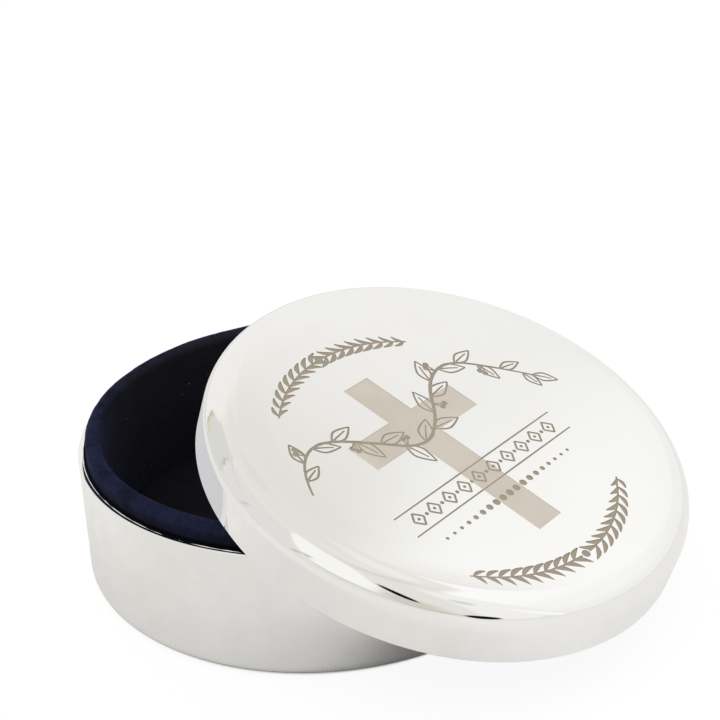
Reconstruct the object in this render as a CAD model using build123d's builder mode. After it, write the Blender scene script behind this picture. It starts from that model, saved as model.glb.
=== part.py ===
from build123d import *
import os

# A round drawn-metal keepsake box with a velvet lining. The cap lid is loose, and here it is set
# down askew on the velvet collar that stands out of the box's mouth. Millimetres, +Z up, and the
# origin is at the middle of the underside, on the box's own axis.

# ---- driving dimensions ----
outer_radius = 45.0       # box and lid are the same width and meet flush when closed
box_height = 25.5         # from the surface it stands on to the metal rim
lid_height = 12.0         # from the skirt's edge to the flat top
box_sheet = 1.2           # metal thickness of the box
lid_sheet = 1.0           # metal thickness of the lid
foot_radius = 3.0         # outside corner between wall and base
shoulder_radius = 5.5     # outside corner between lid top and skirt
rim_rounding = 0.25       # polished edges of both rims
rim_bead_radius = 0.14    # fine bead along the inner edge of the box's rim, inside the lid's skirt

# pressed base and its felt
foot_clearance = 0.3      # the metal foot ring hangs this far above the felt's face
panel_rise = 0.8          # how far the middle of the base is pressed up
panel_radius = 38.8
panel_slope = 2.0         # width of the sloped step round the panel
panel_bend = 1.5          # rounding of the step, at the middle of the sheet
felt_radius = 37.6
felt_rounding = 0.3

# lining of the box
collar_height = 3.8       # velvet collar above the metal rim
collar_radius = 43.6      # outer face of the collar
card_thickness = 1.4
velvet_thickness = 0.8
velvet_tuck = 6.0         # velvet turned down behind the rim
floor_card_thickness = 1.2
floor_pad_thickness = 1.6
floor_edge_radius = 1.6   # soft edge of the floor cushion
lining_gap = 0.2          # floor cushion to wall lining
glue_gap = 0.05           # layer of glue between card and velvet

# lining of the lid
lid_card_radius = 38.7
lid_card_thickness = 0.5
lid_card_rounding = 0.35
lid_velvet_thickness = 0.6

# how the lid lies on the collar
lid_centre = (22.6, -17.05, 23.79)   # middle of the skirt's edge circle
lid_tilt = 19.0                      # degrees off level
lid_heading = -37.0                  # degrees from +X, the way the lid's top leans

os.makedirs("parts", exist_ok=True)


# Every sheet, of metal or velvet, is drawn as the line along its middle and traced at its thickness.

# ---- box shell: one drawn cup of even thickness, with the base pressed up in the middle ----
foot_z = foot_clearance
panel_z = foot_clearance + panel_rise
box_half_sheet = box_sheet / 2
box_wall_line = outer_radius - box_half_sheet

rim_bead_line = outer_radius - box_sheet + rim_bead_radius

with BuildPart() as box_shell:
    with BuildSketch(Plane.XZ) as box_section:
        with BuildLine():
            FilletPolyline(
                (0, panel_z + box_half_sheet),
                (panel_radius, panel_z + box_half_sheet),
                (panel_radius + panel_slope, foot_z + box_half_sheet),
                (box_wall_line, foot_z + box_half_sheet),
                (box_wall_line, box_height),
                radius=[panel_bend, panel_bend, foot_radius - box_half_sheet],
            )
        trace(line_width=box_sheet)
        outer_rim_corner = box_section.vertices().group_by(Axis.Y)[-1].sort_by(Axis.X)[-1]
        fillet(outer_rim_corner, rim_rounding)
        with Locations((rim_bead_line, box_height)):
            Circle(rim_bead_radius)
    revolve(axis=Axis.Z)


# ---- felt under the pressed panel, standing just proud of the metal foot ----
with BuildPart() as base_felt:
    with BuildSketch(Plane.XY):
        Circle(felt_radius)
    extrude(amount=panel_z)
    fillet(base_felt.edges().group_by(Axis.Z)[0], felt_rounding)


# ---- wall lining: a card ring that stands out of the mouth, wrapped in velvet ----
collar_top = box_height + collar_height
velvet_outer = collar_radius - velvet_thickness / 2
velvet_inner = velvet_outer - card_thickness - velvet_thickness - 2 * glue_gap
card_middle = (velvet_outer + velvet_inner) / 2
crown_z = collar_top - (collar_radius - card_middle)
wall_card_foot = foot_z + box_sheet + 0.3

with BuildPart() as wall_card:
    with BuildSketch(Plane.XZ):
        with BuildLine():
            Line((card_middle, wall_card_foot), (card_middle, crown_z))
        trace(line_width=card_thickness)
        with Locations((card_middle, crown_z)):
            Circle(card_thickness / 2)
    revolve(axis=Axis.Z)

with BuildPart() as wall_velvet:
    with BuildSketch(Plane.XZ):
        with BuildLine():
            inner_face = Line((velvet_inner, wall_card_foot), (velvet_inner, crown_z))
            rolled_top = TangentArc(inner_face @ 1, (velvet_outer, crown_z), tangent=inner_face % 1)
            Line(rolled_top @ 1, (velvet_outer, box_height - velvet_tuck))
        trace(line_width=velvet_thickness)
    revolve(axis=Axis.Z)


# ---- floor cushion: card, wadding and velvet drawn down round the edge ----
well_radius = velvet_inner - velvet_thickness / 2
floor_z = panel_z + box_sheet
floor_velvet_radius = well_radius - lining_gap - velvet_thickness / 2
floor_core_radius = floor_velvet_radius - velvet_thickness / 2 - glue_gap
pad_z = floor_z + floor_card_thickness
pad_top = pad_z + floor_pad_thickness

with BuildPart() as floor_card:
    with BuildSketch(Plane.XY.offset(floor_z)):
        Circle(floor_core_radius)
    extrude(amount=floor_card_thickness)

with BuildPart() as floor_pad:
    with BuildSketch(Plane.XY.offset(pad_z)):
        Circle(floor_core_radius)
    extrude(amount=floor_pad_thickness)
    fillet(floor_pad.edges().group_by(Axis.Z)[-1], floor_edge_radius - velvet_thickness / 2)

with BuildPart() as floor_velvet:
    with BuildSketch(Plane.XZ):
        with BuildLine():
            FilletPolyline(
                (0, pad_top + velvet_thickness / 2),
                (floor_velvet_radius, pad_top + velvet_thickness / 2),
                (floor_velvet_radius, floor_z + glue_gap),
                radius=floor_edge_radius,
            )
        trace(line_width=velvet_thickness)
    revolve(axis=Axis.Z)


# ---- the lid's own frame: Z is the lid's axis, and the skirt's edge lies in its XY plane ----
lid_axis = Vector(0, 0, 1).rotate(Axis.Y, lid_tilt).rotate(Axis.Z, lid_heading)
lid_downhill = Vector(1, 0, 0).rotate(Axis.Y, lid_tilt).rotate(Axis.Z, lid_heading)
lid_plane = Plane(origin=lid_centre, x_dir=lid_downhill, z_dir=lid_axis)
lid_section = Plane(origin=lid_centre, x_dir=lid_downhill, z_dir=-lid_plane.y_dir)
lid_turning_axis = Axis(lid_centre, lid_axis)

lid_half_sheet = lid_sheet / 2
lid_skirt_line = outer_radius - lid_half_sheet
lid_top_line = lid_height - lid_half_sheet

with BuildPart() as lid_shell:
    with BuildSketch(lid_section):
        with BuildLine():
            FilletPolyline(
                (0, lid_top_line),
                (lid_skirt_line, lid_top_line),
                (lid_skirt_line, 0),
                radius=shoulder_radius - lid_half_sheet,
            )
        trace(line_width=lid_sheet)
    revolve(axis=lid_turning_axis)
    fillet(lid_shell.edges().group_by(lid_turning_axis)[0], rim_rounding)


# ---- lining of the lid: a card disc under velvet, glued to the ceiling ----
ceiling = lid_height - lid_sheet
lid_velvet_radius = lid_card_radius + glue_gap + lid_velvet_thickness / 2
lid_velvet_z = ceiling - lid_card_thickness - lid_velvet_thickness / 2

with BuildPart() as lid_card:
    with BuildSketch(lid_plane.offset(ceiling)):
        Circle(lid_card_radius)
    extrude(amount=-lid_card_thickness)
    fillet(lid_card.edges().group_by(lid_turning_axis)[0], lid_card_rounding)

with BuildPart() as lid_velvet:
    with BuildSketch(lid_section):
        with BuildLine():
            FilletPolyline(
                (0, lid_velvet_z),
                (lid_velvet_radius, lid_velvet_z),
                (lid_velvet_radius, ceiling),
                radius=lid_velvet_thickness,
            )
        trace(line_width=lid_velvet_thickness)
    revolve(axis=lid_turning_axis)


pieces = {
    "box_shell": box_shell,
    "base_felt": base_felt,
    "wall_card": wall_card,
    "wall_velvet": wall_velvet,
    "floor_card": floor_card,
    "floor_pad": floor_pad,
    "floor_velvet": floor_velvet,
    "lid_shell": lid_shell,
    "lid_card": lid_card,
    "lid_velvet": lid_velvet,
}

for name, piece in pieces.items():
    piece.part.label = name
    export_step(piece.part, f"parts/{name}.step")
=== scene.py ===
import math
import bmesh
import bpy
from mathutils import Matrix, Vector, noise


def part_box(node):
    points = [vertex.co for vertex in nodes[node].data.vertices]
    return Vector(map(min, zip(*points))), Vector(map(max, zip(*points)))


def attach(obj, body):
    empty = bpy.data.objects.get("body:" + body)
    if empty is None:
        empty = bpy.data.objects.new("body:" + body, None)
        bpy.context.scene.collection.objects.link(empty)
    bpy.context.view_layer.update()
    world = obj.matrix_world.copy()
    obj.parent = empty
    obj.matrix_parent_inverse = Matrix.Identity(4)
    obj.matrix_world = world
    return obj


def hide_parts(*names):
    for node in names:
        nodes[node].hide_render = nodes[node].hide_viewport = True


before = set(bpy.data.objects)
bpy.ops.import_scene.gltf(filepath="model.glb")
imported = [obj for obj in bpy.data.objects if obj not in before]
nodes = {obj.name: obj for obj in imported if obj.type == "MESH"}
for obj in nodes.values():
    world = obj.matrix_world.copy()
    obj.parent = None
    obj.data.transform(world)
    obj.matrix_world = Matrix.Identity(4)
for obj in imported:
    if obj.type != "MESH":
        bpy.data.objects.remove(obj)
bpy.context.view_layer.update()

# A round metal keepsake box, velvet lined, with its loose cap lid set down askew on the collar.
# Pieces are drawn in millimetres, and become metres when their mesh is finished.
mm = 0.001
quarterTurn = math.radians(90)
sharpAngle = math.radians(40)
touching = 1e-4       # mm, points nearer than this are one
bandUnit = 0.314      # a wave texture of scale 1 has a band every 0.314 m


def size(node):
    low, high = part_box(node)
    return low / mm, high / mm


def turnedRadius(node):
    return size(node)[1].x


def putInOrder(bm):
    # a bevel leaves its points in no fixed order, so they are sorted by where they are
    for i, v in enumerate(sorted(bm.verts, key=lambda v: v.co[:])):
        v.index = i
    bm.verts.sort()
    for parts in (bm.edges, bm.faces):
        for i, part in enumerate(sorted(parts, key=lambda part: sorted(v.index for v in part.verts))):
            part.index = i
        parts.sort()


def spinOutline(outline, steps, longest=None):
    # outline is the closed half section: (radius, height, corner radius, cuts round the corner)
    bm = bmesh.new()
    points = [Vector((p[0], 0, p[1])) for p in outline]
    verts = [bm.verts.new(p) for p in points]
    for i, v in enumerate(verts):
        if points[i].x > 0 or points[(i + 1) % len(points)].x > 0:
            bm.edges.new((v, verts[(i + 1) % len(verts)]))
    for i, (v, p) in enumerate(zip(verts, outline)):
        if not p[2]:
            continue
        turn = (points[i] - points[i - 1]).angle(points[(i + 1) % len(points)] - points[i])
        bmesh.ops.bevel(bm, geom=[v], offset=p[2] * math.tan(turn / 2), offset_type="OFFSET",
                        affect="VERTICES", segments=p[3], profile=0.5, material=-1)
    if longest:
        for e in bm.edges[:]:
            cuts = math.ceil(e.calc_length() / longest) - 1
            if cuts > 0:
                bmesh.ops.subdivide_edges(bm, edges=[e], cuts=cuts)
    putInOrder(bm)
    bmesh.ops.spin(bm, geom=bm.verts[:] + bm.edges[:], cent=(0, 0, 0), axis=(0, 0, 1), dvec=(0, 0, 0),
                   angle=math.tau, steps=steps, use_merge=True, use_duplicate=False)
    bmesh.ops.remove_doubles(bm, verts=bm.verts[:], dist=touching)
    bmesh.ops.recalc_face_normals(bm, faces=bm.faces[:])
    return bm


def dissolveFlat(bm, height):
    # the fan of triangles over a flat disc becomes one clean face
    disc = [f for f in bm.faces if all(abs(v.co.z - height) < touching for v in f.verts)]
    bmesh.ops.dissolve_faces(bm, faces=disc, use_verts=False)


def waves(place, rows):
    # each row is the length and the height of a wave in mm
    return sum(noise.noise(place / length) * height for length, height in rows)


def meshPiece(name, bm, material):
    mesh = bpy.data.meshes.new(name)
    putInOrder(bm)
    bm.to_mesh(mesh)
    bm.free()
    piece = bpy.data.objects.new(name, mesh)
    bpy.context.scene.collection.objects.link(piece)
    mesh.materials.append(material)
    return piece


def settle(piece, place=Matrix.Identity(4)):
    piece.data.transform(Matrix.Scale(mm, 4) @ place)
    piece.data.shade_smooth()
    piece.data.set_sharp_from_angle(angle=sharpAngle)


def evenShading(piece):
    # flat faces keep their own normals right up to the roundings beside them
    weigh = piece.modifiers.new("evenShading", "WEIGHTED_NORMAL")
    weigh.mode = "FACE_AREA"
    weigh.weight = 100
    weigh.keep_sharp = True


def standFor(piece, node, body):
    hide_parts(node)
    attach(piece, body)


def finishPiece(name, bm, material, node, body, place=Matrix.Identity(4)):
    piece = meshPiece(name, bm, material)
    settle(piece, place)
    standFor(piece, node, body)
    return piece


def newMaterial(name):
    m = bpy.data.materials.new(name)
    m.use_nodes = True
    tree = m.node_tree
    return m, tree, tree.nodes["Principled BSDF"]


def fill(tree, node, inputs):
    # a socket is linked, any other value is set
    for k, v in inputs.items():
        if isinstance(v, bpy.types.NodeSocket):
            tree.links.new(v, node.inputs[k])
        else:
            node.inputs[k].default_value = v


def addNode(tree, kind, inputs=None, **settings):
    node = tree.nodes.new(kind)
    for k, v in settings.items():
        setattr(node, k, v)
    fill(tree, node, inputs or {})
    return node


def maths(tree, operation, a, b=0.0):
    return addNode(tree, "ShaderNodeMath", {0: a, 1: b}, operation=operation).outputs[0]


def remap(tree, value, low, high, toLow=0.0, toHigh=1.0, smooth=False):
    node = addNode(tree, "ShaderNodeMapRange", {"Value": value, "From Min": low, "From Max": high,
                                                "To Min": toLow, "To Max": toHigh},
                   interpolation_type="SMOOTHSTEP" if smooth else "LINEAR")
    return node.outputs[0]


def mixColour(tree, share, a, b, blend="MIX"):
    return addNode(tree, "ShaderNodeMix", {0: share, 6: a, 7: b}, data_type="RGBA", blend_type=blend,
                   clamp_factor=True).outputs[2]


def newGroup(name, inputs, outputs):
    group = bpy.data.node_groups.new(name, "ShaderNodeTree")
    for label, kind, value in inputs:
        socket = group.interface.new_socket(name=label, in_out="INPUT", socket_type=kind)
        if value is not None:
            socket.default_value = value
    for label, kind in outputs:
        group.interface.new_socket(name=label, in_out="OUTPUT", socket_type=kind)
    start = group.nodes.new("NodeGroupInput")
    end = group.nodes.new("NodeGroupOutput")
    return group, start.outputs, end


def useGroup(tree, group, inputs):
    return addNode(tree, "ShaderNodeGroup", inputs, node_tree=group).outputs


def objectPlace(tree):
    return addNode(tree, "ShaderNodeTexCoord").outputs["Object"]


def noiseAt(tree, place, length, detail=2.0, rough=0.5):
    # length is the size of one blotch in mm
    scale = maths(tree, "DIVIDE", 1 / mm, length)
    node = addNode(tree, "ShaderNodeTexNoise", {"Vector": place, "Scale": scale, "Detail": detail,
                                                "Roughness": rough})
    return node.outputs["Fac"]


def relief(tree, height, depth, strength=1.0):
    # depth in mm
    return addNode(tree, "ShaderNodeBump", {"Strength": strength, "Distance": depth * mm,
                                            "Height": height}).outputs["Normal"]


def distance(tree, place, centre=(0, 0, 0)):
    return addNode(tree, "ShaderNodeVectorMath", {0: place, 1: centre}, operation="DISTANCE").outputs["Value"]


def fromAxis(tree, place):
    # distance from the box's own axis
    flat = addNode(tree, "ShaderNodeMapping", {"Vector": place, "Scale": (1, 1, 0)})
    return distance(tree, flat.outputs[0])


def grey(v):
    return (v, v, v, 1)


def times(colour, by):
    return (*[c * by for c in colour[:3]], 1)


def darken(tree, colour, by):
    return mixColour(tree, 1.0, colour, grey(by), "MULTIPLY")


camera = {
    "lens": 87.932,                            # on a 36 mm sensor
    "place": (9.137, -295.646, 184.844),       # mm
    "pitchDown": 26.162,
    "roll": -2.683,
}


def makeCamera():
    data = bpy.data.cameras.new("camera")
    data.lens = camera["lens"]
    data.sensor_width = 36
    eye = bpy.data.objects.new("camera", data)
    bpy.context.scene.collection.objects.link(eye)
    turn = Matrix.Rotation(math.radians(90 - camera["pitchDown"]), 4, "X")
    turn = turn @ Matrix.Rotation(math.radians(camera["roll"]), 4, "Z")
    eye.matrix_world = Matrix.Translation(Vector(camera["place"]) * mm) @ turn
    bpy.context.scene.camera = eye


def panel(azimuth, elevation, halfWidth, halfHeight, colour, square=4.0, soft=0.12, lean=0.0, tilt=0.0,
          crease=0.0):
    return {"Centre Azimuth": azimuth, "Centre Elevation": elevation, "Half Width": halfWidth,
            "Half Height": halfHeight, "Squareness": square, "Softness": soft, "Lean": lean, "Tilt": tilt,
            "Crease": crease, "colour": (*colour, 1)}


# A white tent, by azimuth (0 is +Y, 90 is +X) and elevation in degrees. Later panels lie over earlier ones.
tent = {
    "wall": (0.84, 0.84, 0.81, 1),
    "ceiling": (0.84, 0.82, 0.785, 1),
    "ceilingFrom": 42.0,
    "ceilingTo": 62.0,
    "diffuse": 0.90,          # share of its light that reaches plain surfaces, the lamps give the rest
    "crumples": 7.0,          # folds in its cloth, which bend the edges of some panels
    "panels": [
        panel(80, 28, 50, 36, (0.95, 0.95, 0.925), lean=0.12),                # big diffuser on the right
        panel(82.5, 46, 48.5, 16, (1.00, 1.00, 0.985), soft=0.13, lean=0.4),
        panel(83, 50, 48.5, 13, (1.04, 1.04, 1.03), soft=0.13, lean=0.4),
        panel(95, 30, 34, 14, (1.00, 1.00, 0.985), soft=0.6),
        panel(350, 18, 39, 34, (0.935, 0.93, 0.91), soft=0.15),               # back wall
        panel(19, 38, 12, 7.5, (0.945, 0.942, 0.925), square=2.5, soft=0.5),
        panel(23, 52, 8, 6, (0.82, 0.81, 0.77), square=2, soft=0.8),
        panel(43, 56, 9, 8, (0.89, 0.88, 0.85), square=2, soft=0.6),
        panel(143, 30, 17, 28, (0.945, 0.94, 0.92)),                          # front, right of the opening
        panel(175, 28, 20, 28, (0.84, 0.825, 0.79)),
        panel(170, 62, 38, 3.0, (0.76, 0.74, 0.69), soft=0.6, tilt=-0.18),    # seam under the ceiling
        panel(100, 76, 50, 8, (0.92, 0.91, 0.87), soft=0.5),
        panel(190, 71, 26, 6, (0.87, 0.855, 0.81), soft=0.6),
        panel(325, 71, 26, 6, (0.80, 0.78, 0.735), soft=0.6),
        panel(262, 20, 27, 26, (0.80, 0.795, 0.775), square=8, soft=0.06),    # left wall
        panel(300, 22, 11, 26, (0.74, 0.74, 0.71), square=8, crease=7),       # its fold
        panel(214.5, 32, 20.5, 22.5, (1.00, 1.00, 0.985), soft=0.09, lean=0.08, crease=2),  # front diffuser
        panel(288.3, 24, 0.9, 15, (0.60, 0.605, 0.54), soft=0.5, crease=9),   # seams
        panel(280, 34, 0.7, 16, (0.68, 0.68, 0.63), soft=0.6, lean=0.9, crease=9),
        panel(268, 10, 0.8, 10, (0.64, 0.64, 0.58), soft=0.6, lean=-0.6, crease=9),
        panel(234, 12, 1.6, 8, (0.60, 0.605, 0.54), soft=0.5, lean=-0.75, crease=9),
        panel(312, 14, 1.2, 12, (0.60, 0.56, 0.45), soft=0.5, crease=6),
        panel(307.5, 8, 2.5, 4, (0.73, 0.69, 0.50), square=2.5, soft=0.4),    # brass eyelet
        panel(180, 4.5, 16, 2.6, (0.56, 0.54, 0.46), square=3, soft=0.5),     # table edge beyond the opening
        panel(210, 6, 20, 3, (0.72, 0.715, 0.67), square=3, soft=0.5),
        panel(183, 13, 13, 9, (0.68, 0.66, 0.59), square=2.5, soft=0.5),
        panel(148, 41, 5, 4, (0.73, 0.73, 0.69), square=2, soft=0.5),
        panel(129, 12, 2.2, 17, (1.04, 1.04, 1.03), square=3, soft=0.5, lean=0.37),
        panel(184.5, 27, 4.4, 9, (0.003, 0.003, 0.003), square=2, soft=0.15, lean=0.55),  # slit for the lens
        panel(156.7, 3.5, 7.4, 4.4, (0.003, 0.003, 0.003), square=2, soft=0.2),           # open corner
    ],
}


def panelGroup():
    labels = ["Azimuth", "Elevation", "Crumple", "Centre Azimuth", "Centre Elevation", "Half Width",
              "Half Height", "Squareness", "Softness", "Lean", "Tilt", "Crease"]
    group, given, end = newGroup("tentPanel", [(x, "NodeSocketFloat", 0.0) for x in labels],
                                 [("Mask", "NodeSocketFloat")])
    turn = maths(group, "SUBTRACT", given["Azimuth"], given["Centre Azimuth"])
    turn = addNode(group, "ShaderNodeMath", {0: turn, 1: 180.0, 2: -180.0}, operation="WRAP").outputs[0]
    turn = maths(group, "ADD", turn, maths(group, "MULTIPLY", given["Crumple"], given["Crease"]))
    rise = maths(group, "SUBTRACT", given["Elevation"], given["Centre Elevation"])
    leant = maths(group, "SUBTRACT", turn, maths(group, "MULTIPLY", rise, given["Lean"]))
    tilted = maths(group, "SUBTRACT", rise, maths(group, "MULTIPLY", turn, given["Tilt"]))
    across = maths(group, "DIVIDE", maths(group, "ABSOLUTE", leant), given["Half Width"])
    up = maths(group, "DIVIDE", maths(group, "ABSOLUTE", tilted), given["Half Height"])
    total = maths(group, "ADD", maths(group, "POWER", across, given["Squareness"]),
                  maths(group, "POWER", up, given["Squareness"]))
    reach = maths(group, "POWER", total, maths(group, "DIVIDE", 1.0, given["Squareness"]))
    mask = remap(group, reach, maths(group, "ADD", 1.0, given["Softness"]),
                 maths(group, "SUBTRACT", 1.0, given["Softness"]), smooth=True)
    fill(group, end, {"Mask": mask})
    return group


def makeWorld():
    world = bpy.data.worlds.new("tent")
    world.use_nodes = True
    bpy.context.scene.world = world
    tree = world.node_tree
    way = addNode(tree, "ShaderNodeTexCoord").outputs["Generated"]
    part = addNode(tree, "ShaderNodeSeparateXYZ", {0: way}).outputs
    inDegrees = 180 / math.pi
    azimuth = maths(tree, "MULTIPLY", maths(tree, "ARCTAN2", part["X"], part["Y"]), inDegrees)
    elevation = maths(tree, "MULTIPLY", maths(tree, "ARCSINE", part["Z"]), inDegrees)
    overhead = remap(tree, elevation, tent["ceilingFrom"], tent["ceilingTo"], smooth=True)
    colour = mixColour(tree, overhead, tent["wall"], tent["ceiling"])
    crumple = addNode(tree, "ShaderNodeTexNoise", {"Vector": way, "Scale": tent["crumples"], "Detail": 2.0})
    crumple = maths(tree, "SUBTRACT", crumple.outputs["Fac"], 0.5)
    group = panelGroup()
    for row in tent["panels"]:
        values = {k: v for k, v in row.items() if k != "colour"}
        mask = useGroup(tree, group, {"Azimuth": azimuth, "Elevation": elevation, "Crumple": crumple,
                                      **values})["Mask"]
        colour = mixColour(tree, mask, colour, row["colour"])
    path = addNode(tree, "ShaderNodeLightPath").outputs
    colour = mixColour(tree, path["Is Diffuse Ray"], colour, darken(tree, colour, tent["diffuse"]))
    colour = mixColour(tree, path["Is Camera Ray"], colour, grey(1.0))
    fill(tree, tree.nodes["Background"], {"Color": colour, "Strength": 1.0})


cloth = {
    "colour": (0.955, 0.955, 0.95, 1),
    "half": 1500.0,           # mm
    "thread": 0.40,           # mm between threads
    "thin": (0.84, 0.95),     # share of the colour between threads, in patches
    "patch": 8.0,             # mm
    "seen": 0.90,             # share of plain white where the camera sees it
    "mirrored": 0.04,         # and where metal shows it
    "contact": 0.7,           # mm, painted contact shadow: within it an ambient-occlusion mask takes the white glow away under a piece
    "contactFrom": (0.12, 0.52),
    "gap": 60.0,              # mm, painted shade: the cloth's colour darkens in narrow gaps that the metal shows
    "gapFrom": (0.15, 0.34),  # openness, from darkest to untouched
    "gapShade": 0.31,
    "white": 1.03,
    "paintedShadowAt": (-42, -55, 0),   # painted shadow: a greyer patch on the cloth in front on the left, mm
    "paintedShadowSize": (14.0, 62.0),
    "paintedShadow": 0.92,
    "far": 0.965,             # and painted shade: greyer all round, further out
    "farFrom": (62.0, 98.0),
    "litSide": (18.0, 54.0),  # mm to the right, painted light: there the cloth glows more where the metal shows it
    "lit": 0.60,
    "litFar": 0.36,           # share of that left further out
}


def openness(tree, reach, samples):
    node = addNode(tree, "ShaderNodeAmbientOcclusion", {"Distance": reach * mm}, samples=samples)
    return node.outputs["AO"]


def makeFloor():
    c = cloth
    bm = bmesh.new()
    bmesh.ops.create_grid(bm, x_segments=1, y_segments=1, size=c["half"])
    material, tree, shader = newMaterial("whiteCloth")
    place = objectPlace(tree)
    threads = []
    for direction in ("X", "Y"):
        wave = addNode(tree, "ShaderNodeTexWave", {
            "Vector": place, "Scale": bandUnit / (c["thread"] * mm) / 2,
            "Distortion": 1.4, "Detail": 2.0, "Detail Scale": 0.4,
        }, wave_type="BANDS", bands_direction=direction)
        threads.append(wave.outputs["Fac"])
    path = addNode(tree, "ShaderNodeLightPath").outputs
    mirrored = maths(tree, "ADD", path["Is Glossy Ray"], path["Is Transmission Ray"])
    weave = maths(tree, "MAXIMUM", maths(tree, "MULTIPLY", *threads), path["Is Camera Ray"])
    thin = mixColour(tree, noiseAt(tree, place, c["patch"], 1.0), *[times(c["colour"], t) for t in c["thin"]])
    shade = mixColour(tree, weave, thin, c["colour"])
    # painted shadow: a greyer patch on the cloth in front on the left
    away = distance(tree, place, Vector(c["paintedShadowAt"]) * mm)
    paintedShadow = remap(tree, away, *[d * mm for d in c["paintedShadowSize"]], smooth=True)
    shade = mixColour(tree, paintedShadow, darken(tree, shade, c["paintedShadow"]), shade)
    # painted shade: the cloth greyer further out
    far = remap(tree, distance(tree, place), *[d * mm for d in c["farFrom"]], smooth=True)
    shade = mixColour(tree, far, shade, darken(tree, shade, c["far"]))
    # painted shade: an ambient-occlusion mask darkens the cloth's colour in narrow gaps
    gap = remap(tree, openness(tree, c["gap"], 6), *c["gapFrom"], smooth=True)
    shade = mixColour(tree, gap, darken(tree, shade, c["gapShade"]), shade)
    fill(tree, shader, {"Base Color": shade, "Roughness": 0.9, "Specular IOR Level": 0.0})
    glow = addNode(tree, "ShaderNodeEmission", {"Color": grey(1.0), "Strength": c["white"]})
    # painted light: the cloth glows more on the right, where the metal shows it
    right = addNode(tree, "ShaderNodeSeparateXYZ", {0: place}).outputs["X"]
    lit = remap(tree, right, *[d * mm for d in c["litSide"]], c["mirrored"], c["lit"], smooth=True)
    lit = maths(tree, "MULTIPLY", lit, remap(tree, far, 0.0, 1.0, 1.0, c["litFar"]))
    share = maths(tree, "ADD", maths(tree, "MULTIPLY", path["Is Camera Ray"], c["seen"]),
                  maths(tree, "MULTIPLY", mirrored, lit))
    # painted contact shadow: the glow gives way under a piece, by an ambient-occlusion mask
    near = remap(tree, openness(tree, c["contact"], 8), *c["contactFrom"], smooth=True)
    share = maths(tree, "MULTIPLY", share, near)
    mix = addNode(tree, "ShaderNodeMixShader", {0: share, 1: shader.outputs[0], 2: glow.outputs[0]})
    fill(tree, tree.nodes["Material Output"], {"Surface": mix.outputs[0]})
    floor = meshPiece("floor", bm, material)
    settle(floor)


def hideFrom(thing, *rays):
    for ray in rays:
        setattr(thing, "visible_" + ray, False)


paintedReflectionCard = {
    # painted reflection: the card's glow and its lighter edge ring
    "colour": (0.655, 0.655, 0.675, 1),
    "edge": (0.79, 0.79, 0.79, 1),
    "edgeWidth": 1.2,
    "edgeBlur": 0.2,
    "above": 0.12,     # mm over the collar
}


def makePaintedReflectionCard():
    # painted reflection: a glowing pale card over the open mouth, which only the polished metal sees
    c = paintedReflectionCard
    bm = bmesh.new()
    radius = turnedRadius("wall_velvet")
    bmesh.ops.create_circle(bm, cap_ends=True, segments=128, radius=radius)
    bmesh.ops.translate(bm, vec=(0, 0, size("wall_velvet")[1].z + c["above"]), verts=bm.verts[:])
    material, tree, shader = newMaterial("paintedReflectionCard")
    start = radius - c["edgeWidth"]
    edge = remap(tree, fromAxis(tree, objectPlace(tree)), start * mm, (start + c["edgeBlur"]) * mm)
    glow = addNode(tree, "ShaderNodeEmission", {"Color": mixColour(tree, edge, c["colour"], c["edge"]),
                                                "Strength": 1.0})
    fill(tree, tree.nodes["Material Output"], {"Surface": glow.outputs[0]})
    card = meshPiece("paintedReflectionCard", bm, material)
    settle(card)
    hideFrom(card, "camera", "diffuse", "transmission", "volume_scatter", "shadow")


lamps = {
    "backLamp": {"azimuth": 310, "elevation": 55, "reach": 900, "size": 700, "watts": 0.5},
    "sideLamp": {"azimuth": 80, "elevation": 55, "reach": 900, "size": 700, "watts": 0.7},
    "frontLamp": {"azimuth": 225, "elevation": 60, "reach": 900, "size": 600, "watts": 1.0},
}


def makeLamps():
    for name, row in lamps.items():
        data = bpy.data.lights.new(name, "AREA")
        data.shape = "DISK"
        data.size = row["size"] * mm
        data.energy = row["watts"]
        lamp = bpy.data.objects.new(name, data)
        bpy.context.scene.collection.objects.link(lamp)
        azimuth, elevation = math.radians(row["azimuth"]), math.radians(row["elevation"])
        way = Vector((math.sin(azimuth) * math.cos(elevation), math.cos(azimuth) * math.cos(elevation),
                      math.sin(elevation)))
        lamp.location = way * row["reach"] * mm
        lamp.rotation_euler = way.to_track_quat("Z", "Y").to_euler()
        hideFrom(lamp, "camera", "glossy", "transmission")


makeCamera()
makeWorld()
makeFloor()
makePaintedReflectionCard()
makeLamps()
print("studio ready")


def strongest(group, place, turns, stretch, length, detail, rough, low, high):
    # fine streaks laid in several directions, the strongest at each place
    found = None
    for turn in turns:
        turned = addNode(group, "ShaderNodeMapping", {"Vector": place, "Rotation": turn, "Scale": stretch})
        streak = remap(group, noiseAt(group, turned.outputs[0], length, detail, rough), low, high)
        found = streak if found is None else maths(group, "MAXIMUM", found, streak)
    return found


def groupOf(name, sizes, outputs):
    # every group of marks is given a place and some sizes
    inputs = [("Position", "NodeSocketVector", None)]
    inputs += [(label, "NodeSocketFloat", value) for label, value in sizes.items()]
    return newGroup(name, inputs, [(label, "NodeSocketFloat") for label in outputs])


def weighed(tree, *parts):
    # each part is (a value, its weight)
    total = None
    for value, weight in parts:
        part = maths(tree, "MULTIPLY", value, weight)
        total = part if total is None else maths(tree, "ADD", total, part)
    return total


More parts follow.
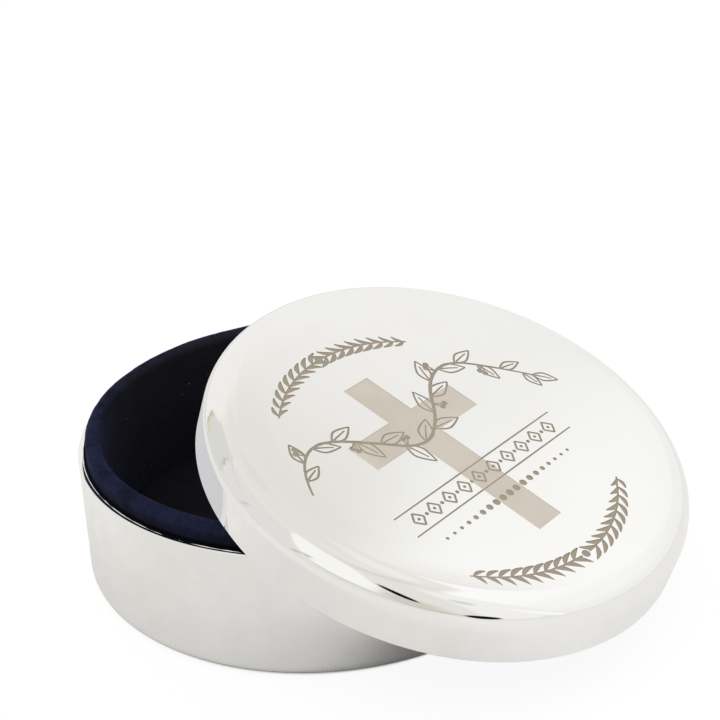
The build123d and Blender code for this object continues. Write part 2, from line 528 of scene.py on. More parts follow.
def handPolishGroup():
    # what a buffing wheel and a soft cloth leave on plate: slow waves, cloudy patches and hairlines
    group, given, end = groupOf("handPolish", {"Wave Size": 9.0, "Cloud Size": 16.0, "Hairline Size": 0.22,
                                               "Hairlines": 0.5}, ["Cloud", "Lines", "Height"])
    place = given["Position"]
    cloud = remap(group, noiseAt(group, place, given["Cloud Size"], 3.0), 0.35, 0.68, smooth=True)
    lines = strongest(group, place, ((0.4, 0.1, 0.9), (-0.3, 0.5, -0.5), (0.2, -0.6, 2.2)), (1, 0.03, 0.25),
                      given["Hairline Size"], 1.0, 0.5, 0.69, 0.76)
    lines = maths(group, "MULTIPLY", lines, given["Hairlines"])
    height = weighed(group, (noiseAt(group, place, given["Wave Size"], 1.0), 1.0), (lines, -0.08))
    fill(group, end, {"Cloud": cloud, "Lines": lines, "Height": height})
    return group


def clothPileGroup():
    # velvet: brushed patches, tufts inside them, single fibres and lint
    group, given, end = groupOf("clothPile", {"Patch Size": 7.0, "Tuft Size": 1.3, "Fibre Size": 0.42,
                                              "Lint Spacing": 3.0}, ["Brushed", "Shade", "Lint", "Height"])
    place = given["Position"]
    brushed = remap(group, noiseAt(group, place, given["Patch Size"], 2.0, 0.5), 0.30, 0.70, smooth=True)
    tufts = remap(group, noiseAt(group, place, given["Tuft Size"], 3.0, 0.65), 0.30, 0.72)
    tips = remap(group, noiseAt(group, place, given["Fibre Size"], 2.0, 0.7), 0.36, 0.70)
    shade = weighed(group, (brushed, 0.36), (tufts, 0.28), (tips, 0.36))
    lint = addNode(group, "ShaderNodeTexVoronoi", {
        "Vector": place,
        "Scale": maths(group, "DIVIDE", 1 / mm, given["Lint Spacing"]),
    })
    # only a speck round some of the cell centres
    lint = maths(group, "MULTIPLY", remap(group, lint.outputs["Distance"], 0.06, 0.035),
                 remap(group, noiseAt(group, place, 14.0, 0.0), 0.48, 0.56))
    fill(group, end, {"Lint": lint, "Brushed": brushed, "Shade": shade,
                      "Height": weighed(group, (tufts, 0.6), (tips, 0.4))})
    return group


def looseFibreGroup():
    # matted fibres, as in felt, wadding and board
    group, given, end = groupOf("looseFibre", {"Fibre Size": 0.35, "Clump Size": 3.0},
                                ["Shade", "Specks", "Height"])
    place = given["Position"]
    strands = strongest(group, place, ((0.2, 0.3, 0.5), (0.9, -0.4, 1.7), (-0.5, 0.8, 2.8)), (1, 0.16, 1),
                        given["Fibre Size"], 2.0, 0.6, 0.45, 0.72)
    clumps = noiseAt(group, place, given["Clump Size"], 3.0)
    dust = noiseAt(group, place, maths(group, "MULTIPLY", given["Fibre Size"], 1.4), 1.0)
    fill(group, end, {"Shade": weighed(group, (strands, 0.55), (clumps, 0.45)),
                      "Specks": remap(group, dust, 0.70, 0.76),
                      "Height": weighed(group, (strands, 1.0), (clumps, 0.4))})
    return group


handPolish = handPolishGroup()
clothPile = clothPileGroup()
looseFibre = looseFibreGroup()

plate = {
    "colour": (0.922, 0.918, 0.910, 1),
    "warm": (0.912, 0.904, 0.886, 1),      # the cloudy patches
    "smooth": 0.028,                       # roughness
    "cloudy": 0.060,
    "scratched": 0.12,                     # roughness that hairlines add
    "wave": 0.0045,                        # mm of unevenness in the polish
}


def mirrorPlate(name, waveSize, cloudSize, hairlines):
    material, tree, shader = newMaterial(name)
    marks = useGroup(tree, handPolish, {"Position": objectPlace(tree), "Wave Size": waveSize,
                                        "Cloud Size": cloudSize, "Hairlines": hairlines})
    rough = remap(tree, marks["Cloud"], 0.0, 1.0, plate["smooth"], plate["cloudy"])
    fill(tree, shader, {
        "Base Color": mixColour(tree, marks["Cloud"], plate["colour"], plate["warm"]),
        "Roughness": weighed(tree, (rough, 1.0), (marks["Lines"], plate["scratched"])),
        "Normal": relief(tree, marks["Height"], plate["wave"]),
        "Metallic": 1.0,
    })
    return material


def engravedPlate(name, colour, light, hatch, hatchTurn):
    # a diamond point draws the fill as fine lines side by side
    material, tree, shader = newMaterial(name)
    place = objectPlace(tree)
    turned = addNode(tree, "ShaderNodeMapping", {"Vector": place, "Rotation": hatchTurn})
    lines = addNode(tree, "ShaderNodeTexWave", {"Vector": turned.outputs[0], "Scale": bandUnit / (hatch * mm),
                                                "Distortion": 0.3, "Detail": 1.0},
                    wave_type="BANDS", bands_direction="X").outputs["Fac"]
    marks = useGroup(tree, handPolish, {"Position": place, "Cloud Size": 11.0, "Hairlines": 0.3})
    grain = noiseAt(tree, place, 0.25, 2.0)
    shade = weighed(tree, (lines, 0.45), (grain, 0.55))
    tone = mixColour(tree, shade, times(colour, 0.93), times(colour, 1.07))
    fill(tree, shader, {
        "Base Color": mixColour(tree, marks["Cloud"], tone, light),
        "Roughness": remap(tree, shade, 0.0, 1.0, 0.55, 0.72),
        "Normal": relief(tree, maths(tree, "ADD", lines, grain), 0.012, 0.5),
        "Metallic": 0.2,
        "Specular IOR Level": 0.3,
    })
    return material


velvet = {
    "lint": (0.20, 0.20, 0.21, 1),
    "roughness": (0.98, 0.86),     # from standing pile to brushed
    "pile": 0.16,                  # mm
    "sheenTint": (0.25, 0.34, 0.95, 1),
}


def collarPaintedShade(tree, place, pile, deep, colour, turned):
    # painted shade: the collar's colour goes darker lower down into the well, at the far side of the well and
    # at its foot by the rim, where shade falls
    part = addNode(tree, "ShaderNodeSeparateXYZ", {0: place}).outputs
    downShade, backShade, foot, inside = [
        remap(tree, value, *[d * mm for d in turned[k]], smooth=True)
        for k, value in (("downShade", part["Z"]), ("backShade", part["Y"]), ("foot", part["Z"]),
                         ("inside", fromAxis(tree, place)))]
    # the darker colour down in the well is painted shade
    inner = mixColour(tree, pile["Shade"], times(turned["shadedWell"], 0.8), times(turned["shadedWell"], 1.2))
    # painted shade on the outer side, lower down
    outer = mixColour(tree, 1.0, colour, turned["low"], "MULTIPLY")
    colour = mixColour(tree, downShade, colour, mixColour(tree, inside, outer, inner))
    colour = mixColour(tree, maths(tree, "MULTIPLY", backShade, inside), colour, inner)
    # painted shade at the foot, by the rim
    return mixColour(tree, foot, colour, mixColour(tree, inside, times(deep, 0.5), colour))


def velvetCloth(name, deep, nap, patchSize=7.0, sheen=0.03, turned=None):
    material, tree, shader = newMaterial(name)
    place = objectPlace(tree)
    pile = useGroup(tree, clothPile, {"Position": place, "Patch Size": patchSize})
    colour = mixColour(tree, pile["Shade"], deep, nap)
    # painted shade over the collar, by where each part lies
    if turned:
        colour = collarPaintedShade(tree, place, pile, deep, colour, turned)
    fill(tree, shader, {
        "Base Color": mixColour(tree, pile["Lint"], colour, velvet["lint"]),
        "Roughness": remap(tree, pile["Brushed"], 0.0, 1.0, *velvet["roughness"]),
        "Normal": relief(tree, pile["Height"], velvet["pile"], 0.7),
        "Specular IOR Level": 0.06,
        "Sheen Weight": sheen,
        "Sheen Roughness": 0.28,
        "Sheen Tint": velvet["sheenTint"],
    })
    return material


def mattedFibre(name, dark, light, fibreSize, clumpSize, depth, speck=None):
    material, tree, shader = newMaterial(name)
    fibres = useGroup(tree, looseFibre, {"Position": objectPlace(tree), "Fibre Size": fibreSize,
                                         "Clump Size": clumpSize})
    colour = mixColour(tree, fibres["Shade"], dark, light)
    if speck:
        colour = mixColour(tree, fibres["Specks"], colour, speck)
    fill(tree, shader, {
        "Base Color": colour,
        "Roughness": remap(tree, fibres["Shade"], 0.0, 1.0, 0.80, 0.97),
        "Normal": relief(tree, fibres["Height"], depth, 0.6),
        "Specular IOR Level": 0.15,
    })
    return material


boxPlate = mirrorPlate("boxPlate", 8.0, 18.0, 0.5)
lidPlate = mirrorPlate("lidPlate", 12.0, 22.0, 0.35)
crossFrost = engravedPlate("crossFrost", (0.608, 0.556, 0.484, 1), (0.660, 0.608, 0.541, 1), 0.12,
                           (0, 0, 0.9))
lineFrost = engravedPlate("lineFrost", (0.375, 0.325, 0.258, 1), (0.395, 0.345, 0.275, 1), 0.10, (0, 0, -0.6))
navy = {
    "deep": (0.0030, 0.0036, 0.0085, 1),
    "nap": (0.0195, 0.0235, 0.0640, 1),
    # painted shade: the velvet's colour down in the well
    "shadedWell": (0.0175, 0.0162, 0.0225, 1),
}
# painted shade over the collar: darker down into the well, at the far side and at its foot, the outer side
# lower down darkened by low
collarCloth = velvetCloth("collarVelvet", navy["deep"], navy["nap"], 6.0, 0.11,
                          {"downShade": (28.4, 26.6), "backShade": (0.0, 24.0), "inside": (41.9, 41.1),
                           "foot": (26.1, 25.5), "shadedWell": navy["shadedWell"], "low": (0.66, 0.60, 0.50, 1)})
# painted shade: the cushion down in the well takes darker copies of the well's colour
floorCloth = velvetCloth("floorVelvet", times(navy["shadedWell"], 0.3), times(navy["shadedWell"], 0.62), 9.0, 0.0)
lidCloth = velvetCloth("lidVelvet", navy["deep"], times(navy["nap"], 0.5))
navyFelt = mattedFibre("navyFelt", (0.010, 0.013, 0.034, 1), (0.030, 0.037, 0.085, 1), 0.30, 4.0, 0.20,
                       (0.09, 0.10, 0.16, 1))
wadding = mattedFibre("wadding", (0.62, 0.61, 0.58, 1), (0.88, 0.87, 0.84, 1), 0.55, 5.0, 0.45)
greyBoard = mattedFibre("greyBoard", (0.36, 0.31, 0.24, 1), (0.50, 0.44, 0.35, 1), 0.22, 6.0, 0.03,
                        (0.18, 0.15, 0.12, 1))
print("finishes ready")

outerRadius = turnedRadius("box_shell")

boxMetal = {
    "sheet": 1.2,
    "footZ": 0.3,
    "footRadius": 2.6,
    "panelZ": 1.1,
    "panelRadius": 38.8,
    "slope": 2.0,
    "rimRounding": 0.15,
    "rimDrop": 0.25,
    "dish": 0.15,              # how far the rim falls towards its bead
    "bead": 0.10,              # radius of the bead
    "beadLeft": (0.04, 0.24, 0.9),     # least, usual and most of its height where it is rubbed down
    "ledge": 0.25,             # between the bead and the velvet
    "ledgeDrop": 0.10,
    "steps": 512,
}


def makeBoxShell():
    b = boxMetal
    inner = outerRadius - b["sheet"]
    edge = b["rimRounding"]
    bead = b["bead"]
    near = inner + b["ledge"]
    rimHeight = size("box_shell")[1].z - b["rimDrop"]
    low = rimHeight - b["dish"]
    least, usual, most = b["beadLeft"]
    outline = [
        (0, b["panelZ"], 0, 0),
        (b["panelRadius"], b["panelZ"], 1.5, 4),
        (b["panelRadius"] + b["slope"], b["footZ"], 1.0, 4),
        (outerRadius, b["footZ"], b["footRadius"], 12),
        (outerRadius, rimHeight, edge, 6),
        (near + 2 * bead, low, 0, 0),
        (near + 2 * bead, low + bead, bead, 5),
        (near, low + bead, bead - 0.001, 5),
        (near, low - b["ledgeDrop"], 0, 0),
        (inner, low - b["ledgeDrop"], 0, 0),
        (inner, b["footZ"] + b["sheet"], b["footRadius"] - b["sheet"], 6),
        (b["panelRadius"] + b["slope"], b["footZ"] + b["sheet"], 1.0, 4),
        (b["panelRadius"], b["panelZ"] + b["sheet"], 1.5, 4),
        (0, b["panelZ"] + b["sheet"], 0, 0),
    ]
    bm = spinOutline(outline, b["steps"])
    for v in bm.verts:
        # the bead is rubbed down in places
        if v.co.z > low + 0.001 and v.co.xy.length < near + 2 * bead + 0.001:
            worn = noise.noise(v.co.xy.normalized().to_3d() * 9) * 1.3 + noise.noise(v.co / 1.5) * 0.9
            v.co.z = low + (v.co.z - low) * min(most, max(least, usual + worn))
    shell = meshPiece("boxShell", bm, boxPlate)
    settle(shell)
    evenShading(shell)
    for e in shell.data.edges:
        # the bead's foot stays crisp even where it is rubbed flat
        ends = [shell.data.vertices[i].co / mm for i in e.vertices]
        if all((Vector((p.xy.length, p.z)) - Vector((near + 2 * bead, low))).length < 0.001 for p in ends):
            e.use_edge_sharp = True
    standFor(shell, "box_shell", "box")


makeBoxShell()

feltDisc = {
    "rounding": 0.35,
    "gap": 0.04,         # mm under it, for the waves
    "waves": ((2.2, 0.03), (0.8, 0.02)),
    "rows": 1.6,         # mm between rings of the mesh
    "steps": 160,
}


def makeBaseFelt():
    radius = turnedRadius("base_felt")
    top = size("base_felt")[1].z
    outline = [
        (0, feltDisc["gap"], 0, 0),
        (radius, feltDisc["gap"], feltDisc["rounding"], 4),
        (radius, top, 0, 0),
        (0, top, 0, 0),
    ]
    bm = spinOutline(outline, feltDisc["steps"], feltDisc["rows"])
    bm.normal_update()
    for v in bm.verts:
        v.co += v.normal * waves(v.co, feltDisc["waves"])
        v.co.z = min(max(v.co.z, 0.0), top)
    finishPiece("baseFelt", bm, navyFelt, "base_felt", "box")


makeBaseFelt()

collarTop = size("wall_velvet")[1].z
collar = {
    "outer": turnedRadius("wall_velvet"),
    "inner": 40.5,
    "foot": 1.8,
    "tuckZ": 19.5,       # the strip ends behind the rim
    "cloth": 0.8,
    "lip": 0.3,          # pile pushed out over the ledge of the rim
    "lipRadius": outerRadius - boxMetal["sheet"] + boxMetal["ledge"] - 0.04,
    "lipZ": size("box_shell")[1].z - boxMetal["rimDrop"] - boxMetal["dish"] - boxMetal["ledgeDrop"] + 0.03,
    "steps": 520,
    "rows": 0.8,
    "seamAt": -52.0,     # degrees from +X, where the ends of the strip meet
    "seamDepth": 0.32,
    "seamWidth": 0.28,
    "seamCuts": (-3, -1.5, -0.7, 0, 0.7, 1.5, 3),     # in seam widths
    "waves": ((9, 0.09), (2.3, 0.05), (0.9, 0.03)),
    "sunk": 0.06,        # room for the waves
}


def makeWallVelvet():
    c = collar
    roll = (c["outer"] - c["inner"]) / 2
    inside = roll - c["cloth"]
    outline = [
        (c["inner"], c["foot"], 0, 0),
        (c["inner"], collarTop, roll, 10),
        (c["outer"], collarTop, roll - 0.001, 10),
        (c["outer"], c["lipZ"] + c["lip"], 0, 0),
        (c["lipRadius"], c["lipZ"] + c["lip"] / 2, 0, 0),
        (c["lipRadius"], c["lipZ"], 0, 0),
        (c["outer"], c["lipZ"], 0, 0),
        (c["outer"], c["tuckZ"], 0, 0),
        (c["outer"] - c["cloth"], c["tuckZ"], 0, 0),
        (c["outer"] - c["cloth"], collarTop - c["cloth"], inside, 4),
        (c["inner"] + c["cloth"], collarTop - c["cloth"], inside - 0.001, 4),
        (c["inner"] + c["cloth"], c["foot"], 0, 0),
    ]
    bm = spinOutline(outline, c["steps"], c["rows"])
    turn = Matrix.Rotation(math.radians(c["seamAt"]), 3, "Z")
    across, outward = turn @ Vector((0, 1, 0)), turn @ Vector((1, 0, 0))
    for step in c["seamCuts"]:
        reach = 5 * c["seamWidth"]
        near = {v for v in bm.verts if abs(v.co.dot(across)) < reach and v.co.dot(outward) > 0}
        faces = [f for f in bm.faces if near.issuperset(f.verts)]
        geom = list(dict.fromkeys(part for f in faces for part in (*f.verts, *f.edges))) + faces
        bmesh.ops.bisect_plane(bm, geom=geom, dist=1e-5, plane_co=across * step * c["seamWidth"],
                               plane_no=across)
    middle = (c["outer"] + c["inner"]) / 2
    outside = [v for v in bm.verts if abs(v.co.xy.length - middle) > inside + 0.05 or
               v.co.z > collarTop - c["cloth"] + 0.05]
    bm.normal_update()
    for v in outside:
        aside = v.co.dot(across) / c["seamWidth"]
        pinch = c["seamDepth"] * math.exp(-aside * aside) if v.co.dot(outward) > 0 else 0.0
        if v.co.z > c["foot"] + 0.1 and v.co.xy.length < c["outer"] + 0.01:
            v.co += v.normal * (waves(v.co, c["waves"]) - c["sunk"] - pinch)
    return finishPiece("wallVelvet", bm, collarCloth, "wall_velvet", "box")


wallVelvet = makeWallVelvet()
print("box and collar made")

pad = {
    "radius": turnedRadius("floor_velvet"),
    "bottom": size("floor_velvet")[0].z,
    "top": size("floor_velvet")[1].z,
    "cloth": 0.8,
    "edge": 2.0,
    "crown": 0.9,        # the middle stands this much higher than the edge
    "crownCurve": 2.4,
    "crownSunk": 0.35,   # share of the crown that the whole is lowered by
    "held": 1.2,         # mm at the foot that stay as they are
    "waves": ((11, 0.16), (3, 0.05)),
    "rows": 1.3,
    "steps": 240,
}


def crowned(bm, below):
    # lifts everything over a height, most in the middle, as stuffing does
    for v in bm.verts:
        if v.co.z > below:
            out = min(1.0, v.co.xy.length / pad["radius"])
            v.co.z += pad["crown"] * (1 - out ** pad["crownCurve"]) - pad["crown"] * pad["crownSunk"]


def makeFloorVelvet():
    p = pad
    outline = [
        (0, p["top"], 0, 0),
        (p["radius"], p["top"], p["edge"], 8),
        (p["radius"], p["bottom"], 0, 0),
        (p["radius"] - p["cloth"], p["bottom"], 0, 0),
        (p["radius"] - p["cloth"], p["top"] - p["cloth"], p["edge"] - p["cloth"], 5),
        (0, p["top"] - p["cloth"], 0, 0),
    ]
    bm = spinOutline(outline, p["steps"], p["rows"])
    held = p["bottom"] + p["held"]
    crowned(bm, held)
    for v in bm.verts:
        if v.co.z > held:
            v.co.z += waves(v.co.xy.to_3d(), p["waves"])
    return finishPiece("floorVelvet", bm, floorCloth, "floor_velvet", "box")


stuffing = {
    "slack": 0.1,        # mm smaller than the cloth leaves room for
    "foot": 0.2,
    "edge": 1.2,
    "held": 0.8,
    "glued": 0.3,        # mm at the bottom without waves
    "sunk": 0.16,
    "waves": ((2.0, 0.1),),
    "rows": 1.8,
    "steps": 120,
}


def makeFloorWadding():
    p = stuffing
    radius = turnedRadius("floor_pad") - p["slack"]
    bottom, top = size("floor_pad")[0].z, size("floor_pad")[1].z - p["slack"]
    outline = [
        (0, bottom, 0, 0),
        (radius, bottom, p["foot"], 2),
        (radius, top, p["edge"], 6),
        (0, top, 0, 0),
    ]
    bm = spinOutline(outline, p["steps"], p["rows"])
    crowned(bm, bottom + p["held"])
    for v in bm.verts:
        if bottom + p["glued"] < v.co.z:
            v.co.z -= p["sunk"] + waves(v.co, p["waves"])
    return finishPiece("floorWadding", bm, wadding, "floor_pad", "box")


floorVelvet = makeFloorVelvet()
floorWadding = makeFloorWadding()
print("floor cushion made")

lidPose = {
    "centre": (22.6, -17.05, 23.79),   # middle of the skirt's edge, mm
    "tilt": 19.0,
    "heading": -37.0,                  # from +X, the way the lid leans
}
lidPlace = (Matrix.Translation(lidPose["centre"])
            @ Matrix.Rotation(math.radians(lidPose["heading"]), 4, "Z")
            @ Matrix.Rotation(math.radians(lidPose["tilt"]), 4, "Y"))

lidMetal = {
    "height": 12.0,
    "sheet": 1.0,
    "shoulder": 5.5,
    "bendAt": 36.3,          # radius where the flat top starts to fall towards the shoulder
    "bendAngle": 2.4,
    "bendRadius": 100.0,
    "rimRounding": 0.25,
    "steps": 256,
    "crossDepth": 0.07,
    "lineDepth": 0.12,
}

crossMark = {
    "shaft": 44.0,
    "width": 6.7,
    "bar": 29.7,
    "barAt": 8.1,            # above the middle of the shaft
}

# The engraving is drawn flat: first number to the right, second number up, both from the cross's middle.
engraving = {
    "weld": 0.0008,       # nearer corners left by the cutter are joined
    "sliver": 0.0015,     # and thinner faces go
    "middle": (3.2, -6.6),   # on the lid, downhill and across
    "turn": -2.25,
    "stem": [(-29, 7.5), (-26, 13), (-18.5, 16.5), (-10.5, 10.5), (-3, 3), (5, 6.5), (12, 14.5), (20, 16.5),
             (26.5, 10), (31.5, 3.5)],
    "stemWidth": (0.35, 0.85, 0.35),      # start, middle, end
    "leaves": 17,
    "leafFrom": 0.045,                    # shares of the stem
    "leafSpan": 0.93,
    "leafLength": 6.2,
    "leafBulge": 1.25,
    "leafTurn": 38.0,
    "leafLine": 0.5,
    "berries": [0.13, 0.27, 0.40, 0.60, 0.73, 0.87],   # shares of the stem
    "berryPair": ((78, 1.0), (106, 0.8)),              # degrees off the stem, share of the stalk
    "berryStalk": 2.3,
    "berry": 0.56,
    "sprayRadius": 30.6,
    "upperSpray": (128, 53),               # degrees, from one tip to the other
    "lowerSpray": (-137, -49),
    "sprayLeaf": (3.5, 1.35),              # length, width
    "sprayLine": 0.42,
    "sprayStep": 4.1,                      # degrees between pairs of leaves
    "sprayTurn": 33,
    "sprayTwig": 0.955,                    # share of its half that a twig covers
    "bandFrom": -22.4,
    "bandTo": 24.6,
    "bandAt": -7.3,
    "bandHalf": 2.55,
    "lozenges": 10,
    "beadFrom": -18.4,
    "beadTo": 18.6,
    "beadAt": -13.2,
    "beads": 19,
}


def newStrokes():
    # a graver's cut: every stroke is a bar with sloping sides, whose width is the radius of its points
    profile = bpy.data.curves.new("graver", "CURVE")
    bar = profile.splines.new("POLY")
    bar.points.add(3)
    for point, co in zip(bar.points, ((-0.34, 0.0), (0.34, 0.0), (0.66, 0.6), (-0.66, 0.6))):
        point.co = (*co, 0, 1)
    bar.use_cyclic_u = True
    tool = bpy.data.objects.new("graver", profile)
    bpy.context.scene.collection.objects.link(tool)
    drawing = bpy.data.curves.new("strokes", "CURVE")
    drawing.dimensions = "3D"
    drawing.twist_mode = "Z_UP"
    drawing.bevel_mode = "OBJECT"
    drawing.bevel_object = tool
    drawing.use_fill_caps = True
    drawing.resolution_u = 5
    return drawing


def stroke(drawing, points, widths):
    line = drawing.splines.new("NURBS")
    line.points.add(len(points) - 1)
    for i, (point, co) in enumerate(zip(line.points, points)):
        at = i / (len(points) - 1) * (len(widths) - 1)
        low = min(int(at), len(widths) - 2) if len(widths) > 1 else 0
        high = min(low + 1, len(widths) - 1)
        point.co = (co[0], co[1], 0, 1)
        point.radius = widths[low] + (widths[high] - widths[low]) * (at - low)
    line.order_u = 3
    line.use_endpoint_u = True


def towards(angle):
    return Vector((math.cos(angle), math.sin(angle)))


def leafLines(drawing, base, angle, length, bulge, width):
    # two curved sides and a rib
    along = towards(angle)
    side = along.orthogonal()
    tip = base + along * length
    for hand in (1, -1):
        stroke(drawing, [base, base + along * length * 0.28 + side * bulge * hand * 1.25,
                         base + along * length * 0.66 + side * bulge * hand * 0.95, tip],
               (width * 0.7, width, width * 0.6))
    stroke(drawing, [base + along * length * 0.1, base + along * length * 0.45 + side * 0.08,
                     base + along * length * 0.74], (width * 0.8, width * 0.45))


def solidLeaf(drawing, base, angle, length, width):
    along = towards(angle)
    side = along.orthogonal() * 0.12 * length
    stroke(drawing, [base, base + along * length * 0.3 + side, base + along * length * 0.65 + side,
                     base + along * length], (0.18, width, width * 0.85, 0.12))


def lineOf(points):
    # evenly spaced places and directions along a smooth line through the drawing
    path = bpy.data.curves.new("path", "CURVE")
    path.dimensions = "3D"
    path.resolution_u = 24
    stroke(path, points, (1.0,))
    holder = bpy.data.objects.new("path", path)
    mesh = bpy.data.meshes.new_from_object(holder)
    places = [v.co.xy for v in mesh.vertices]
    bpy.data.objects.remove(holder)
    bpy.data.meshes.remove(mesh)
    lengths = [0.0]
    for a, b in zip(places, places[1:]):
        lengths.append(lengths[-1] + (b - a).length)

    def at(share):
        goal = share * lengths[-1]
        i = max(1, next(k for k, total in enumerate(lengths) if total >= goal - 1e-9))
        a, b = places[i - 1], places[i]
        part = (goal - lengths[i - 1]) / max(1e-9, lengths[i] - lengths[i - 1])
        return a.lerp(b, part), math.atan2(b.y - a.y, b.x - a.x)

    return at


def drawStem(drawing, bm):
    g = engraving
    start, middle, end = g["stemWidth"]
    stroke(drawing, g["stem"], (start, middle, middle, end))
    along = lineOf(g["stem"])
    count = g["leaves"]
    for i in range(count):
        share = g["leafFrom"] + g["leafSpan"] * i / (count - 1)
        spot, heading = along(share)
        hand = 1 if i % 2 else -1
        small = 0.72 + 0.28 * math.sin(math.pi * share)
        turn = heading + hand * math.radians(g["leafTurn"])
        leafLines(drawing, spot, turn, g["leafLength"] * small, g["leafBulge"] * small, g["leafLine"])
    spot, heading = along(1.0)
    leafLines(drawing, spot, heading, g["leafLength"] * 0.8, g["leafBulge"] * 0.8, g["leafLine"])
    for i, share in enumerate(g["berries"]):
        spot, heading = along(share)
        hand = -1 if i % 2 else 1
        for spread, reach in g["berryPair"]:
            angle = heading + hand * math.radians(spread)
            end = spot + towards(angle) * g["berryStalk"] * reach
            stroke(drawing, [spot, spot.lerp(end, 0.55), end], (0.34, 0.26))
            dot(bm, end, g["berry"])


def drawSpray(drawing, degrees, radius):
    # two laurel twigs that meet in the middle
    g = engraving
    start, end = (math.radians(d) for d in degrees)
    middle = (start + end) / 2
    for edge in (start, end):
        hand = 1 if middle > edge else -1
        twig = [edge + (middle - edge) * k / 6 * g["sprayTwig"] for k in range(7)]
        stroke(drawing, [towards(a) * radius for a in twig],
               (0.3, g["sprayLine"], g["sprayLine"]))
        step = math.radians(g["sprayStep"])
        for i in range(int(abs(middle - edge) / step)):
            angle = edge + hand * step * (i + 0.25)
            spot = towards(angle) * radius
            small = 0.68 + 0.32 * min(1.0, (i + 1) / 4)
            length, width = g["sprayLeaf"]
            for side in (1, -1):
                solidLeaf(drawing, spot, angle + hand * quarterTurn + side * math.radians(g["sprayTurn"]),
                          length * small, width * small)
    return middle


def dot(bm, at, radius):
    made = bmesh.ops.create_cone(bm, cap_ends=True, segments=14, radius1=radius, radius2=radius * 1.25,
                                 depth=0.4)
    bmesh.ops.translate(bm, vec=(*at, 0.2), verts=made["verts"])


def drawBands(drawing, bm):
    g = engraving
    low, high = g["bandFrom"], g["bandTo"]
    for side in (-1, 1):
        height = g["bandAt"] + side * g["bandHalf"]
        stroke(drawing, [(low, height), (low * 0.3 + high * 0.7, height), (high, height)], (0.2, 0.42, 0.2))
    count = g["lozenges"]
    pitch = (high - low - 3) / count
    for i in range(count):
        centre = low + 1.5 + pitch * (i + 0.5)
        half, tall = pitch * 0.30, g["bandHalf"] * 0.62
        corners = [(centre - half, g["bandAt"]), (centre, g["bandAt"] + tall), (centre + half, g["bandAt"]),
                   (centre, g["bandAt"] - tall)]
        for a, b in zip(corners, corners[1:] + corners[:1]):
            stroke(drawing, [a, ((a[0] + b[0]) / 2, (a[1] + b[1]) / 2), b], (0.42,))
        dot(bm, (centre, g["bandAt"]), 0.30)
        if i:
            dot(bm, (centre - pitch / 2, g["bandAt"]), 0.36)
    low, high = g["beadFrom"], g["beadTo"]
    count = g["beads"]
    for i in range(count):
        share = i / (count - 1)
        dot(bm, (low + (high - low) * share, g["beadAt"]), 0.30 + 0.42 * math.sin(math.pi * share) ** 2)


def ornamentCutter():
    drawing = newStrokes()
    bm = bmesh.new()
    drawStem(drawing, bm)
    for degrees in (engraving["upperSpray"], engraving["lowerSpray"]):
        angle = drawSpray(drawing, degrees, engraving["sprayRadius"])
        dot(bm, towards(angle) * engraving["sprayRadius"], 0.75)
    drawBands(drawing, bm)
    holder = bpy.data.objects.new("strokes", drawing)
    bpy.context.scene.collection.objects.link(holder)
    evaluated = holder.evaluated_get(bpy.context.evaluated_depsgraph_get())
    lines = bpy.data.meshes.new_from_object(evaluated)
    bm.from_mesh(lines)
    bpy.data.objects.remove(drawing.bevel_object)
    bpy.data.objects.remove(holder)
    bpy.data.meshes.remove(lines)
    bmesh.ops.remove_doubles(bm, verts=bm.verts[:], dist=1e-5)
    bmesh.ops.recalc_face_normals(bm, faces=bm.faces[:])
    return bm


def crossCutter():
    c = crossMark
    bm = bmesh.new()
    for width, height, up in ((c["width"], c["shaft"], 0.0), (c["bar"], c["width"], c["barAt"])):
        made = bmesh.ops.create_cube(bm, size=1.0)
        bmesh.ops.scale(bm, vec=(width, height, 1.0), verts=made["verts"])
        bmesh.ops.translate(bm, vec=(0, up, 0.5), verts=made["verts"])
    return bm


def cutWith(piece, bm, depth, material):
    # the drawing is laid on the lid's top and sunk in by the depth
    g = engraving
    turn = Matrix.Rotation(math.radians(g["turn"]) + quarterTurn, 4, "Z")
    bm.transform(Matrix.Translation((*g["middle"], lidMetal["height"] - depth)) @ turn)
    cutter = meshPiece("cutter", bm, material)
    cut = piece.modifiers.new("cut", "BOOLEAN")
    cut.operation = "DIFFERENCE"
    cut.solver = "EXACT"
    cut.use_self = True
    cut.material_mode = "TRANSFER"
    cut.object = cutter
    evaluated = piece.evaluated_get(bpy.context.evaluated_depsgraph_get())
    result = bpy.data.meshes.new_from_object(evaluated)
    piece.modifiers.clear()
    bm = bmesh.new()
    bm.from_mesh(result)
    bmesh.ops.remove_doubles(bm, verts=bm.verts[:], dist=g["weld"])
    bmesh.ops.dissolve_degenerate(bm, dist=g["sliver"], edges=bm.edges[:])
    # the cutter leaves some pairs of faces back to back
    same = {}
    for f in bm.faces:
        same.setdefault(frozenset(f.verts), []).append(f)
    flaps = [f for group in same.values() if len(group) > 1 for f in group]
    bmesh.ops.delete(bm, geom=flaps, context="FACES_ONLY")
    bm.to_mesh(result)
    bm.free()
    piece.data = result
    bpy.data.objects.remove(cutter)


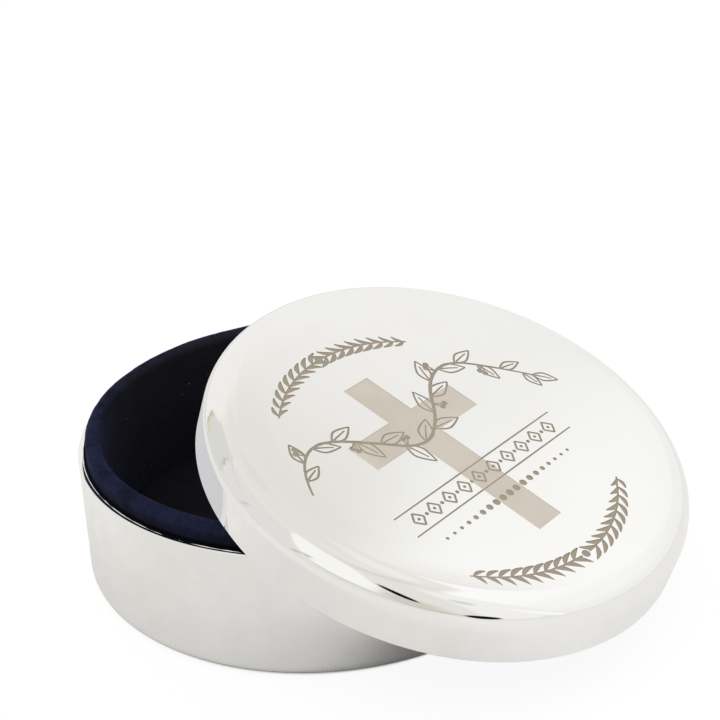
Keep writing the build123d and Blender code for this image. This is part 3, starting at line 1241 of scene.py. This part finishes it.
def makeLidShell():
    m = lidMetal
    inner = outerRadius - m["sheet"]
    ceiling = m["height"] - m["sheet"]
    fall = (outerRadius - m["bendAt"]) * math.tan(math.radians(m["bendAngle"]))
    outline = [
        (0, m["height"], 0, 0),
        (m["bendAt"], m["height"], m["bendRadius"], 8),
        (outerRadius, m["height"] - fall, m["shoulder"], 24),
        (outerRadius, 0, m["rimRounding"], 4),
        (inner, 0, m["rimRounding"], 4),
        (inner, ceiling, m["shoulder"] - m["sheet"], 12),
        (0, ceiling, 0, 0),
    ]
    bm = spinOutline(outline, m["steps"])
    dissolveFlat(bm, m["height"])
    dissolveFlat(bm, ceiling)
    shell = meshPiece("lidShell", bm, lidPlate)
    cutWith(shell, crossCutter(), m["crossDepth"], crossFrost)
    cutWith(shell, ornamentCutter(), m["lineDepth"], lineFrost)
    settle(shell, lidPlace)
    evenShading(shell)
    standFor(shell, "lid_shell", "lid")


makeLidShell()
print("lid made and engraved")

lidLining = {
    "radius": 39.05,
    "face": 9.9,          # height of the velvet's face in the lid
    "cloth": 0.6,
    "edge": 0.9,
    "innerEdge": 0.3,
    "soft": 0.3,          # mm behind the face that take part in its waves
    "waves": ((10, 0.06), (2.5, 0.04)),
    "rows": 1.4,
    "steps": 240,
}


def makeLidVelvet():
    m = lidLining
    ceiling = lidMetal["height"] - lidMetal["sheet"]
    outline = [
        (0, m["face"], 0, 0),
        (m["radius"], m["face"], m["edge"], 6),
        (m["radius"], ceiling, 0, 0),
        (m["radius"] - m["cloth"], ceiling, 0, 0),
        (m["radius"] - m["cloth"], m["face"] + m["cloth"], m["innerEdge"], 3),
        (0, m["face"] + m["cloth"], 0, 0),
    ]
    bm = spinOutline(outline, m["steps"], m["rows"])
    for v in bm.verts:
        if v.co.z < m["face"] + m["soft"]:
            v.co.z += waves(v.co, m["waves"])
    return finishPiece("lidVelvet", bm, lidCloth, "lid_velvet", "lid", lidPlace)


lidVelvet = makeLidVelvet()

for node in ("wall_card", "floor_card", "lid_card"):
    slots = nodes[node].data.materials
    slots.clear()
    slots.append(greyBoard)

# the wall's velvet is one strip, as long as the collar's middle line

scene = bpy.context.scene
scene.view_settings.view_transform = "Standard"
